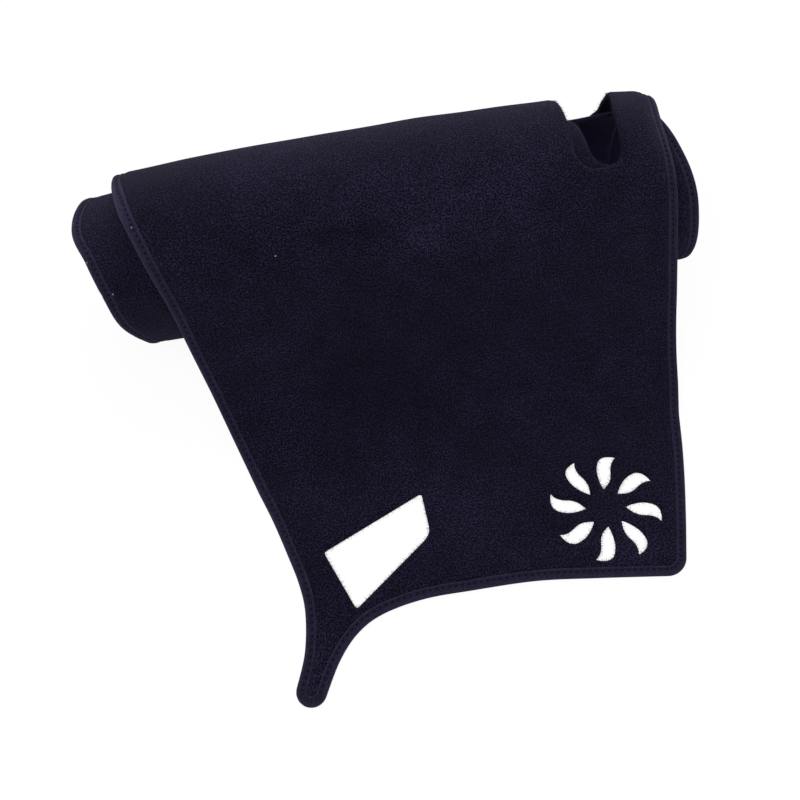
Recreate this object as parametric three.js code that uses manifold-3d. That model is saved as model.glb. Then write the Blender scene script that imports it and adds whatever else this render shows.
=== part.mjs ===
// Dashboard cover mat in velour carpet. Its front end lies forward on the floor as a flap with a pointed
// tab, and the rest is rolled up behind it, pile side out. A folded tape is sewn round the whole edge.
//
// The mat is drawn flat, as it is cut, and then bent: x runs along the roll, and a point's forward
// distance is measured along the pile side, from the crown line on top of the roll towards the flap.
// Lengths are millimetres, +Z is up, and the origin is under the middle of the mat's box.
import * as THREE from 'three';
import { mergeVertices } from 'three/addons/utils/BufferGeometryUtils.js';
import Module from 'manifold-3d';

const wasm = await Module();
wasm.setup();

// Sheet and tape
const sheetThickness = 5;
const tapeThickness = 0.8;
const tapeWidth = 9;
const tapeRounding = 1.3;
const seatGap = 0.3;

// Roll and flap, on the pile side
const rollHeight = 167.2;
const turnDrop = 20;
const nestGap = 1.5;
const innerEndSweep = 75;
const crownRadius = 88.6;
const flapSlope = 55;
const landingRadius = 110;

// Tab and corners of the cut outline
const tabTipRadius = 13;
const tabTip = [-123.5, 182.5];
const tabTipArc = [161, 329];
const flapCornerRadius = 18.5;
const flapCorner = [200.5, 126.5];
const flapCornerArc = [262, 342];
const innerCornerRadius = 32;

// Sides of the mat behind the landing line, as [x, forward of the crown line]. The flap's own slanted
// sides come first, then the wider stretch that shows under the flap, and last the hidden inner end.
const leftSide = [
  [-163, 218], [-178, 151], [-189, 96], [-200, 48], [-211, 3], [-219, -50], [-222, -110], [-218, -200],
  [-213, -300],
  [-222, -355], [-237, -392], [-246, -431], [-254, -468], [-258, -507], [-252, -570], [-236, -640],
  [-215, -700], [-200, -760], [-195, -800],
];
const rightSide = [
  [261, 247], [266, 193], [265, 120], [263, 50], [266, -12], [278, -62], [281, -120], [273, -220],
  [275, -300], [291, -340], [298, -376], [291, -420], [285, -457], [274, -505], [264, -560], [250, -640],
  [238, -720],
  [232, -800],
];

// Flap on the floor, as [x, forward of the landing line]
const leftFoot = [-144, 0];
const tabLeftSide = [[-135, 29], [-127, 61], [-120.5, 91], [-119, 117], [-124.5, 150]];
const flapFrontEdge = [[-96, 162], [-77, 142], [-53, 130], [-16, 124], [26, 124.5], [83, 127], [138, 135]];
const flapRightSide = [[228, 99], [238, 63], [246, 30]];
const rightFoot = [252.5, 0];

// Vent window in the flap, from its left corner round by the back, as [x, forward of the landing line]
const ventCorners = [[-75, 122], [-95, 66], [1, 28], [1.5, 68]];
const ventCornerRadii = [3, 3, 3, 9];

// Sun-shaped speaker cut-out
const sunCentre = [161.5, 73.5];
const petalCount = 8;
const petalTipRadius = 50.5;
const petalRootRadius = 17;
const firstPetal = 63;

// Window over the top of the roll, and the one under it in the next turn, as [x, forward of the top line
// of their own turn]
const crownWindow = [
  [179, -131], [179, 22], [185, 33.5], [196, 38], [208, 38], [218, 34], [223, 24], [226, -20], [236, -60],
  [243, -90], [243, -116], [232, -129],
];
const innerWindow = [
  [202, -68], [202, 4], [206, 15], [216, 21], [234, 21], [242, 14], [244, 4], [244, -68],
];

// Finish of the bends and of the drawn curves
const bendStep = 9;
const outlineStep = 12;
const foldStep = 14;
const tipStep = 4;
const cornerStep = 6;
const petalStep = 5;
const cornerFold = 15;
const roundingSteps = 4;
const sideSamples = 400;
const leastStep = 1;
const plugReach = 2;

const radians = (degrees) => THREE.MathUtils.degToRad(degrees);

// Roll: half turns from the crown backwards, resting on each other at the bottom
const turnTop = (turn) => rollHeight - turn * turnDrop;
const turnBottom = (turn) => turn * (sheetThickness + nestGap);
const halfTurnRadius = (half) => (turnTop(Math.ceil(half / 2)) - turnBottom(Math.floor(half / 2))) / 2;
const halfTurns = [180, 180, 180, innerEndSweep].map((sweep, half) => ({
  length: halfTurnRadius(half) * radians(sweep),
  bend: 1 / halfTurnRadius(half),
}));

// Flap: over the crown, straight down the slope, and out onto the floor
const slope = radians(flapSlope);
const slopeDrop = rollHeight - sheetThickness - (crownRadius + landingRadius) * (1 - Math.cos(slope));
const flapLegs = [
  { length: crownRadius * slope, bend: 1 / crownRadius },
  { length: slopeDrop / Math.sin(slope), bend: 0 },
  { length: landingRadius * slope, bend: -1 / landingRadius },
];
const total = (legs) => legs.reduce((sum, leg) => sum + leg.length, 0);
const landingLine = total(flapLegs);
const innerEnd = -total(halfTurns);

// One step along the pile side from a place on it. heading is 0 where the mat runs level to the front.
function step(place, length, bend) {
  const heading = place.heading + bend * length;
  if (bend === 0) {
    return {
      y: place.y - Math.cos(heading) * length,
      z: place.z - Math.sin(heading) * length,
      heading,
    };
  }
  return {
    y: place.y - (Math.sin(heading) - Math.sin(place.heading)) / bend,
    z: place.z + (Math.cos(heading) - Math.cos(place.heading)) / bend,
    heading,
  };
}

// Place on the pile side at a forward distance from the crown line
function placeAt(forward) {
  const legs = forward < 0 ? halfTurns : flapLegs;
  const sense = Math.sign(forward);
  let place = { y: 0, z: rollHeight, heading: 0 };
  let left = Math.abs(forward);
  for (const leg of legs) {
    const length = Math.min(left, leg.length);
    place = step(place, sense * length, leg.bend);
    left -= length;
  }
  const endBend = forward < 0 ? halfTurns.at(-1).bend : 0;
  return step(place, sense * left, endBend);
}

// Flat points hold x and y, where y is the forward distance with its sign turned, so they lie as seen
// from above. height is measured up from the backing, so the pile is at the sheet's thickness.
const flat = ([x, forward]) => new THREE.Vector2(x, -forward);
const onFlap = ([x, forward]) => new THREE.Vector2(x, -(landingLine + forward));

function bent(point, height) {
  const place = placeAt(-point.y);
  const depth = sheetThickness - height;
  return new THREE.Vector3(
    point.x,
    place.y + Math.sin(place.heading) * depth,
    place.z - Math.cos(place.heading) * depth,
  );
}

// Forward distances where the bent sheet gets a fold line, from the landing line to the inner end
function foldLines() {
  const lines = [];
  let reached = 0;
  for (const leg of flapLegs) {
    const turn = THREE.MathUtils.radToDeg(leg.length * Math.abs(leg.bend));
    const count = Math.ceil(Math.max(turn / bendStep, leg.length / foldStep));
    for (let i = 0; i < count; i += 1) lines.push(reached + (leg.length * i) / count);
    reached += leg.length;
  }
  lines.push(reached);
  lines.reverse();
  reached = 0;
  for (const leg of halfTurns) {
    const count = Math.ceil(THREE.MathUtils.radToDeg(leg.length * leg.bend) / bendStep);
    for (let i = 1; i <= count; i += 1) lines.push(reached - (leg.length * i) / count);
    reached -= leg.length;
  }
  const cornerStart = innerEnd + innerCornerRadius;
  const beforeCorner = lines.filter((forward) => forward > cornerStart + leastStep);
  for (let angle = 0; angle <= 90; angle += cornerFold) {
    beforeCorner.push(innerEnd + innerCornerRadius * (1 - Math.sin(radians(angle))));
  }
  return beforeCorner;
}
const folds = foldLines();

// Side of the mat: x at a forward distance, on one smooth curve through the side's points
function sideReader(points) {
  const samples = new THREE.SplineCurve(points.map(([x, forward]) => new THREE.Vector2(x, forward)))
    .getSpacedPoints(sideSamples);
  return (forward) => {
    const after = samples.findIndex((sample) => sample.y <= forward);
    if (after <= 0) return samples.at(after).x;
    const share = (samples[after - 1].y - forward) / (samples[after - 1].y - samples[after].y);
    return THREE.MathUtils.lerp(samples[after - 1].x, samples[after].x, share);
  };
}

// How far a rounded corner of the inner end pulls a side in
function cornerPull(forward) {
  const reach = Math.max(innerCornerRadius - (forward - innerEnd), 0);
  return innerCornerRadius - Math.sqrt(Math.max(innerCornerRadius ** 2 - reach ** 2, 0));
}

// Points along a list of joined curves, about one step apart and without repeats
function walk(curves, spacing) {
  const points = [];
  for (const curve of curves) {
    const pieces = Math.max(2, Math.ceil(curve.getLength() / spacing));
    points.push(...curve.getSpacedPoints(pieces).slice(points.length ? 1 : 0));
  }
  return points;
}

// Outline of the flap on the floor, from the left foot round the tab to the right foot
function flapOutline() {
  const tip = onFlap(tabTip);
  const corner = onFlap(flapCorner);
  const tipArc = new THREE.ArcCurve(tip.x, tip.y, tabTipRadius, ...tabTipArc.map(radians), false);
  const cornerAngles = flapCornerArc.map(radians);
  const cornerArc = new THREE.ArcCurve(corner.x, corner.y, flapCornerRadius, ...cornerAngles, false);
  const tabLeft = new THREE.SplineCurve([leftFoot, ...tabLeftSide].map(onFlap).concat(tipArc.getPoint(0)));
  const front = new THREE.SplineCurve(
    [tipArc.getPoint(1), ...flapFrontEdge.map(onFlap), cornerArc.getPoint(0)],
  );
  const right = new THREE.SplineCurve([cornerArc.getPoint(1), ...flapRightSide.map(onFlap), onFlap(rightFoot)]);
  return [
    ...walk([tabLeft], outlineStep),
    ...walk([tipArc], tipStep).slice(1),
    ...walk([front], outlineStep).slice(1),
    ...walk([cornerArc], cornerStep).slice(1),
    ...walk([right], outlineStep).slice(1),
  ];
}

// Cut outline of the whole mat, counter-clockwise as seen from above, and its cross rows
function matOutline() {
  const leftAt = sideReader([[leftFoot[0], landingLine], ...leftSide]);
  const rightAt = sideReader([[rightFoot[0], landingLine], ...rightSide]);
  const front = flapOutline();
  const right = folds.slice(1).map((forward) => flat([rightAt(forward) - cornerPull(forward), forward]));
  const left = folds.slice(1).map((forward) => flat([leftAt(forward) + cornerPull(forward), forward]));
  const loop = [...front, ...right, ...left.reverse()];
  const rows = folds.map((_, k) => [k === 0 ? 0 : loop.length - k, front.length - 1 + k]);
  return { loop, rows, frontCount: front.length };
}
const outline = matOutline();

// The loop moved inwards by a distance, point by point
function inset(loop, distance) {
  return loop.map((point, i) => {
    const before = loop.at(i - 1);
    const after = loop[(i + 1) % loop.length];
    const along = after.clone().sub(before).normalize();
    return new THREE.Vector2(point.x - along.y * distance, point.y + along.x * distance);
  });
}

// Closed solid between two heights over flat triangles inside a counter-clockwise loop
function thicken(points, faces, low, high) {
  const vertices = [];
  const indices = [];
  for (const height of [high, low]) {
    for (const point of points) vertices.push(...bent(point, height).toArray());
  }
  const count = points.length;
  for (const [a, b, c] of faces) {
    indices.push(a, b, c);
    indices.push(count + c, count + b, count + a);
  }
  for (let a = 0; a < count; a += 1) {
    const b = (a + 1) % count;
    indices.push(count + a, count + b, b);
    indices.push(count + a, b, a);
  }
  const geometry = new THREE.BufferGeometry();
  geometry.setAttribute('position', new THREE.Float32BufferAttribute(vertices, 3));
  geometry.setIndex(indices);
  return geometry;
}

// Triangles over cross rows, given as pairs of left and right point numbers from the front backwards
function rowFaces(rows) {
  const faces = [];
  for (let k = 1; k < rows.length; k += 1) {
    const [frontLeft, frontRight] = rows[k - 1];
    const [backLeft, backRight] = rows[k];
    faces.push([frontLeft, frontRight, backRight]);
    faces.push([frontLeft, backRight, backLeft]);
  }
  return faces;
}

// The whole mat as one layer between two heights, its edge moved inwards
function matLayer(distance, low, high) {
  const points = inset(outline.loop, distance);
  const frontPoints = points.slice(0, outline.frontCount);
  const faces = THREE.ShapeUtils.triangulateShape(frontPoints, []).concat(rowFaces(outline.rows));
  return thicken(points, faces, low, high);
}

// Plug that cuts a window through the sheet where it lies flat
function flatPlug(points) {
  const loop = THREE.ShapeUtils.isClockWise(points) ? points.slice().reverse() : points;
  return thicken(loop, THREE.ShapeUtils.triangulateShape(loop, []), -plugReach, sheetThickness + plugReach);
}

// Plug that cuts a window through the bent sheet. The outline is wide at its front and back ends.
function bentPlug(corners) {
  const loop = corners.map(flat);
  const spans = (level) => loop.flatMap((a, i) => {
    const b = loop[(i + 1) % loop.length];
    if ((a.y - level) * (b.y - level) > 0 || a.y === b.y) return a.y === level ? [a.x] : [];
    return [THREE.MathUtils.mapLinear(level, a.y, b.y, a.x, b.x)];
  });
  const ys = loop.map((point) => point.y);
  const inside = folds.map((forward) => -forward)
    .filter((y) => y > Math.min(...ys) && y < Math.max(...ys) && ys.every((other) => Math.abs(other - y) > leastStep));
  const levels = [...new Set([...ys, ...inside])].sort((a, b) => a - b)
    .filter((level) => Math.max(...spans(level)) - Math.min(...spans(level)) > leastStep);
  const left = levels.map((level) => new THREE.Vector2(Math.min(...spans(level)), level));
  const right = levels.map((level) => new THREE.Vector2(Math.max(...spans(level)), level));
  const points = [...right, ...left.reverse()];
  const rows = levels.map((_, k) => [points.length - 1 - k, k]);
  return thicken(points, rowFaces(rows), -plugReach, sheetThickness + plugReach);
}

// Vent window with its corners rounded
function ventOutline() {
  const corners = ventCorners.map(onFlap);
  const towards = (from, to, length) => from.clone().add(to.clone().sub(from).setLength(length));
  return corners.flatMap((corner, i) => {
    const start = towards(corner, corners.at(i - 1), ventCornerRadii[i]);
    const end = towards(corner, corners[(i + 1) % corners.length], ventCornerRadii[i]);
    return new THREE.QuadraticBezierCurve(start, corner, end).getPoints(roundingSteps);
  });
}

// One petal of the sun, as [share of its span outwards, degrees ahead of its tip], swept clockwise
const petalSpan = petalTipRadius - petalRootRadius;
const petalRoot = [0, 19];
const petalTip = [1.01, 0];
const petalBack = [[0.22, 25], [0.5, 25.5], [0.7, 23], [0.86, 19.5], [0.96, 14], [1, 7]];
const petalBelly = [[0.9, 3], [0.74, 4.6], [0.6, 4.2], [0.43, 2.6], [0.26, 3.6], [0.12, 9]];
function petalOutline(turn) {
  const centre = onFlap(sunCentre);
  const polar = ([share, ahead]) => {
    const angle = radians(turn + ahead);
    const radius = petalRootRadius + petalSpan * share;
    return new THREE.Vector2(centre.x + radius * Math.cos(angle), centre.y + radius * Math.sin(angle));
  };
  const back = new THREE.SplineCurve([petalRoot, ...petalBack, petalTip].map(polar));
  const belly = new THREE.SplineCurve([petalTip, ...petalBelly, petalRoot].map(polar));
  return walk([back, belly], petalStep).slice(1);
}

// A solid of the boolean library from a closed geometry, and back
function toSolid(geometry) {
  const merged = mergeVertices(geometry, 1e-5);
  return new wasm.Manifold(new wasm.Mesh({
    numProp: 3,
    vertProperties: new Float32Array(merged.attributes.position.array),
    triVerts: new Uint32Array(merged.index.array),
  }));
}

function toGeometry(solid) {
  const mesh = solid.getMesh();
  const geometry = new THREE.BufferGeometry();
  geometry.setAttribute('position', new THREE.BufferAttribute(mesh.vertProperties, 3));
  geometry.setIndex(new THREE.BufferAttribute(mesh.triVerts, 1));
  geometry.computeVertexNormals();
  return geometry;
}

// Carpet sheet: full thickness inside the tape, pressed thin where the tape wraps it, windows cut out
function carpetSheet() {
  const press = tapeThickness + seatGap;
  const field = toSolid(matLayer(tapeWidth + seatGap, 0, sheetThickness));
  const pressedEdge = toSolid(matLayer(press, press, sheetThickness - press));
  const petals = Array.from({ length: petalCount }, (_, i) => petalOutline(firstPetal - (i * 360) / petalCount));
  const innerCrown = -(halfTurns[0].length + halfTurns[1].length);
  const plugs = [
    flatPlug(ventOutline()),
    ...petals.map(flatPlug),
    bentPlug(crownWindow),
    bentPlug(innerWindow.map(([x, forward]) => [x, innerCrown + forward])),
  ];
  let sheet = field.add(pressedEdge);
  for (const plug of plugs) sheet = sheet.subtract(toSolid(plug));
  return toGeometry(sheet);
}

// Binding: a folded tape with a rounded outer edge, carried once round the outline
function edgeBinding() {
  const t = tapeThickness;
  const r = tapeRounding;
  const T = sheetThickness;
  const section = [
    [tapeWidth, T], [r, T], [0, T - r], [0, r], [r, 0], [tapeWidth, 0],
    [tapeWidth, t], [t, t], [t, T - t], [tapeWidth, T - t],
  ];
  const rings = section.map(([distance, height]) => (
    inset(outline.loop, distance).map((point) => bent(point, height))
  ));
  const count = outline.loop.length;
  const vertices = rings.flat().flatMap((vertex) => vertex.toArray());
  const indices = [];
  section.forEach((_, ring) => {
    const here = ring * count;
    const next = ((ring + 1) % section.length) * count;
    for (let a = 0; a < count; a += 1) {
      const b = (a + 1) % count;
      indices.push(here + a, next + a, next + b);
      indices.push(here + a, next + b, here + b);
    }
  });
  const geometry = new THREE.BufferGeometry();
  geometry.setAttribute('position', new THREE.Float32BufferAttribute(vertices, 3));
  geometry.setIndex(indices);
  geometry.computeVertexNormals();
  return geometry;
}

function named(name, geometry, color, roughness) {
  const material = new THREE.MeshStandardMaterial({ color, roughness, metalness: 0 });
  const mesh = new THREE.Mesh(geometry, material);
  mesh.name = name;
  return mesh;
}

const group = new THREE.Group();
group.add(named('mat_sheet', carpetSheet(), 0x17151f, 1));
group.add(named('edge_binding', edgeBinding(), 0x2b2936, 0.85));

const box = new THREE.Box3().setFromObject(group);
const middle = box.getCenter(new THREE.Vector3());
group.position.set(-middle.x, -middle.y, -box.min.z);

export default group;
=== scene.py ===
"""Dashboard cover mat in dark velour carpet, half rolled up, with its flap lying forward on the floor.

The mat is drawn flat, as it is cut, and then bent round the roll. x runs along the roll, and a point's
forward distance is measured along the pile side, from the crown line on top of the roll to the flap.
A flat point holds x and the forward distance with its sign turned, so the cut lies as seen from above.
Lengths are in metres, in the frame of the part.
"""
import logging
import math
import random
from dataclasses import dataclass, field
from enum import Enum
from typing import Iterable, Sequence

import bmesh
import bpy
from mathutils import Matrix, Vector, kdtree, noise


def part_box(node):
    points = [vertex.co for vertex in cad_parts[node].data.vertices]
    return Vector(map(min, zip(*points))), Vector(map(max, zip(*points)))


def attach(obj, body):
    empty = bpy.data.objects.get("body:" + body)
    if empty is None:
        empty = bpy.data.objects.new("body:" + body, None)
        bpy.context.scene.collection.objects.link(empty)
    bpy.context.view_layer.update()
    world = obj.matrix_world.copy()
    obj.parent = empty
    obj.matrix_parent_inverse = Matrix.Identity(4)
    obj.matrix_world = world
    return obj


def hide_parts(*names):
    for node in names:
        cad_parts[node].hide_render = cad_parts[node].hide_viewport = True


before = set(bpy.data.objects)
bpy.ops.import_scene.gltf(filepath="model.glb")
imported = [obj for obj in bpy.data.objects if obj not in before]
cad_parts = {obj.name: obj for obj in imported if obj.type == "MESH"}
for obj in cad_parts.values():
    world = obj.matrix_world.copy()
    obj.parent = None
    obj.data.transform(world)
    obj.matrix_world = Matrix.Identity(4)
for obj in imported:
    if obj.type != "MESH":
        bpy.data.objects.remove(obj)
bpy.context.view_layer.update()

log = logging.getLogger("dashboard_mat")

Pair = tuple[float, float]
MM = 0.001


class Face(Enum):
    """Sides of the carpet, in the order of its material slots."""

    PILE = 0
    BACKING = 1


def smoothstep(low: float, high: float, value: float) -> float:
    """Ease from 0 at low to 1 at high.

    Args:
        low: Value at which the step starts.
        high: Value at which it is complete. It may be below low.
        value: Value to read the step at.

    Returns:
        The share of the step, from 0 to 1.
    """
    share = min(max((value - low) / (high - low), 0.0), 1.0)
    return share * share * (3 - 2 * share)


def hump(centre: float, reach: float, value: float) -> float:
    """Read a soft hump of height 1 at its centre that is nearly flat beyond its reach."""
    return math.exp(-(((value - centre) / reach) ** 2))


def spaced(points: Sequence[Vector], spacing: float, closed: bool = False) -> list[Vector]:
    """Lay points evenly along a line of points.

    Args:
        points: Line of flat points.
        spacing: Distance wanted between the new points.
        closed: Whether the line runs back to its first point.

    Returns:
        New points about a spacing apart. A closed line doesn't repeat its first point.
    """
    line = list(points) + ([points[0]] if closed else [])
    reached = [0.0]
    for before, after in zip(line, line[1:]):
        reached.append(reached[-1] + (after - before).length)
    count = max(2, round(reached[-1] / spacing))
    result = []
    at = 0
    for i in range(count if closed else count + 1):
        target = reached[-1] * i / count
        while at < len(line) - 2 and reached[at + 1] < target:
            at += 1
        span = reached[at + 1] - reached[at]
        result.append(line[at].lerp(line[at + 1], (target - reached[at]) / span if span else 0.0))
    return result


def spline(points: Sequence[Vector], steps: int = 24) -> list[Vector]:
    """Draw a smooth curve through points.

    Args:
        points: Points that the curve passes through.
        steps: Steps between one point and the next.

    Returns:
        Points along the curve, with both ends.
    """
    last = len(points) - 1
    result = []
    for i in range(last):
        before, start, end, after = (points[min(max(k, 0), last)] for k in (i - 1, i, i + 1, i + 2))
        leave = (end - before) / 2
        arrive = (after - start) / 2
        for k in range(steps):
            t = k / steps
            result.append(
                start
                + leave * t
                + (3 * (end - start) - 2 * leave - arrive) * t ** 2
                + (2 * (start - end) + leave + arrive) * t ** 3
            )
    return result + [points[-1].copy()]


def arc(centre: Vector, radius: float, degrees: Pair, steps: int = 24) -> list[Vector]:
    """Draw an arc.

    Args:
        centre: Centre of the arc.
        radius: Its radius.
        degrees: Angles at which it starts and ends.
        steps: Steps along it.

    Returns:
        Points along the arc, with both ends.
    """
    start, end = (math.radians(angle) for angle in degrees)
    angles = (start + (end - start) * k / steps for k in range(steps + 1))
    return [centre + Vector((math.cos(a), math.sin(a))) * radius for a in angles]


@dataclass(frozen=True)
class RollForm:
    """Side view of the mat: how the sheet runs round the roll and down to the floor.

    The first half turns go back from the crown line, and each rests on the one before it at the bottom.
    """

    thickness: float = 5 * MM
    roll_height: float = 167.2 * MM
    turn_drop: float = 20 * MM
    nest_gap: float = 1.5 * MM
    inner_end_sweep: float = 75
    crown_radius: float = 88.6 * MM
    flap_slope: float = 55
    landing_radius: float = 110 * MM
    left_end: float = -258 * MM

    def half_radius(self, half: int) -> float:
        """Work out the radius of a half turn on its pile side."""
        top = self.roll_height - math.ceil(half / 2) * self.turn_drop
        bottom = (half // 2) * (self.thickness + self.nest_gap)
        return (top - bottom) / 2

    def half_turns(self) -> list[Pair]:
        """List the half turns as length and bend, from the crown line backwards."""
        sweeps = (180, 180, 180, self.inner_end_sweep)
        radii = [self.half_radius(half) for half in range(len(sweeps))]
        return [(radius * math.radians(sweep), 1 / radius) for radius, sweep in zip(radii, sweeps)]

    def flap_legs(self) -> list[Pair]:
        """List the flap's legs as length and bend, from the crown line to the floor."""
        slope = math.radians(self.flap_slope)
        rounded = (self.crown_radius + self.landing_radius) * (1 - math.cos(slope))
        drop = self.roll_height - self.thickness - rounded
        return [
            (self.crown_radius * slope, 1 / self.crown_radius),
            (drop / math.sin(slope), 0.0),
            (self.landing_radius * slope, -1 / self.landing_radius),
        ]

    def landing_line(self) -> float:
        """Forward distance at which the flap reaches the floor."""
        return sum(length for length, _ in self.flap_legs())

    def inner_end(self) -> float:
        """Forward distance of the mat's hidden inner end."""
        return -sum(length for length, _ in self.half_turns())

    def second_turn(self) -> float:
        """Forward distance of the top line of the second turn."""
        return -sum(length for length, _ in self.half_turns()[:2])

    def place(self, forward: float) -> tuple[float, float, float]:
        """Find a place on the pile side.

        Args:
            forward: Forward distance from the crown line.

        Returns:
            Its distance behind the crown line, its height, and its heading, which is 0 where the mat
            runs level to the front.
        """
        sense = 1 if forward >= 0 else -1
        legs = self.flap_legs() if forward >= 0 else self.half_turns()
        legs = legs + [(math.inf, 0.0 if forward >= 0 else legs[-1][1])]
        y, z, heading = 0.0, self.roll_height, 0.0
        left = abs(forward)
        for length, bend in legs:
            run = min(left, length) * sense
            turned = heading + bend * run
            if bend:
                y -= (math.sin(turned) - math.sin(heading)) / bend
                z += (math.cos(turned) - math.cos(heading)) / bend
            else:
                y -= math.cos(heading) * run
                z -= math.sin(heading) * run
            heading = turned
            left -= abs(run)
            if left <= 0:
                break
        return y, z, heading


@dataclass(frozen=True)
class SoftForm:
    """How the limp sheet departs from the plain roll: drooping ends, swells, a pucker and a crease.

    A pair of places says where an easing starts and ends, or the middle of a swell and its reach. The
    droops hang down, the leans go to the front, and both fade out below the height where sagging starts.
    """

    sag_height: float = 70 * MM
    left_droop: float = 9 * MM
    left_lean: float = 5 * MM
    left_spread: float = 5 * MM
    left_bend: Pair = (-60 * MM, -232 * MM)
    left_corner: Pair = (-205 * MM, -236 * MM)
    left_corner_share: float = 0.7
    left_back: Pair = (-190 * MM, -60 * MM)
    left_front: Pair = (170 * MM, 30 * MM)
    right_droop: float = 7 * MM
    right_lean: float = 4 * MM
    right_curl: float = 20 * MM
    right_slump: float = 2.2
    right_slump_share: float = 0.6
    right_back: Pair = (-175 * MM, -130 * MM)
    right_front: Pair = (90 * MM, 0)
    right_side: float = 268 * MM
    right_widening: float = 14 * MM
    right_widens: Pair = (-5 * MM, -75 * MM)
    inner_droop: float = 17 * MM
    inner_bend: Pair = (-178 * MM, -262 * MM)
    inner_sag: float = 5 * MM
    inner_sag_place: Pair = (205 * MM, 32 * MM)
    inner_lean: float = 0.3
    inner_from: float = 0.72
    right_swell: float = 8 * MM
    swell_side: Pair = (215 * MM, 285 * MM)
    swell_low: Pair = (-320 * MM, -375 * MM)
    swell_high: Pair = (-480 * MM, -425 * MM)
    crown_swell: float = 2.6 * MM
    crown_middle: Pair = (70 * MM, 95 * MM)
    crown_line: Pair = (-95 * MM, 60 * MM)
    ripple: float = 0.8 * MM
    ripple_size: float = 55 * MM
    bump_place: Pair = (38 * MM, 76 * MM)
    bump_reach: float = 26 * MM
    bump_height: float = 1.6 * MM
    pucker_place: Pair = (-156 * MM, 88 * MM)
    pucker_reach: float = 6 * MM
    pucker_height: float = 1.0 * MM
    crease_place: Pair = (-230 * MM, -433 * MM)
    crease_slant: float = 0.1
    crease_reach: float = 2.2 * MM
    crease_end: Pair = (-175 * MM, -205 * MM)
    crease_depth: float = 1.1 * MM
    floor_reach: Pair = (10 * MM, -60 * MM)
    floor_clearance: Pair = (2 * MM, 45 * MM)

    def droop(self, x: float, forward: float, roll: RollForm) -> Vector:
        """Work out how far the ends of the roll droop.

        Args:
            x: Place along the roll.
            forward: Forward distance of the place.
            roll: Side view that the sheet follows.

        Returns:
            The move in the part's frame.
        """
        high = smoothstep(self.sag_height, roll.roll_height, roll.place(forward)[1])
        if forward < roll.second_turn() * self.inner_from:
            down = self.inner_droop * smoothstep(*self.inner_bend, x)
            down += self.inner_sag * hump(*self.inner_sag_place, x)
            return Vector((0, -self.inner_lean, -1)) * down * high
        left = smoothstep(*self.left_bend, x) ** 2
        left += self.left_corner_share * smoothstep(*self.left_corner, x)
        right_edge = self.right_side + self.right_widening * smoothstep(*self.right_widens, forward)
        inwards = max(right_edge - x, 0) / self.right_curl
        right = max(1 - inwards, 0) ** 1.5 + self.right_slump_share * max(1 - inwards / self.right_slump, 0)
        over = high * smoothstep(*self.left_back, forward) * smoothstep(*self.left_front, forward)
        fold = smoothstep(*self.right_back, forward) * smoothstep(*self.right_front, forward)
        down = self.left_droop * left * over + self.right_droop * right * fold
        ahead = self.left_lean * left * over + self.right_lean * right * fold
        return Vector((-self.left_spread * min(left, 1) ** 3 * over, -ahead, -down))

    def height(self, x: float, forward: float, roll: RollForm) -> float:
        """Work out how far the sheet waves out of its plain form.

        Args:
            x: Place along the roll.
            forward: Forward distance of the place.
            roll: Side view that the sheet follows.

        Returns:
            The move along the pile's direction.
        """
        landing = roll.landing_line()
        off_floor = smoothstep(landing + self.floor_reach[0], landing + self.floor_reach[1], forward)
        if forward < 0:
            off_floor = smoothstep(*self.floor_clearance, roll.place(forward)[1])
        rise = noise.noise(Vector((x, forward, 0)) / self.ripple_size) * self.ripple
        bump = math.hypot(x - self.bump_place[0], forward - self.bump_place[1])
        rise += self.bump_height * hump(0, self.bump_reach, bump)
        rise += self.crown_swell * hump(*self.crown_middle, x) * hump(*self.crown_line, forward)
        pucker = math.hypot(x - self.pucker_place[0], forward - self.pucker_place[1])
        rise += self.pucker_height * hump(0, self.pucker_reach, pucker)
        crease_line = self.crease_place[1] + self.crease_slant * (x - self.crease_place[0])
        crease = hump(crease_line, self.crease_reach, forward) * smoothstep(*self.crease_end, x)
        rise -= self.crease_depth * crease
        swell = smoothstep(*self.swell_side, x) * smoothstep(*self.swell_low, forward)
        rise += self.right_swell * swell * smoothstep(*self.swell_high, forward)
        return rise * off_floor


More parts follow.
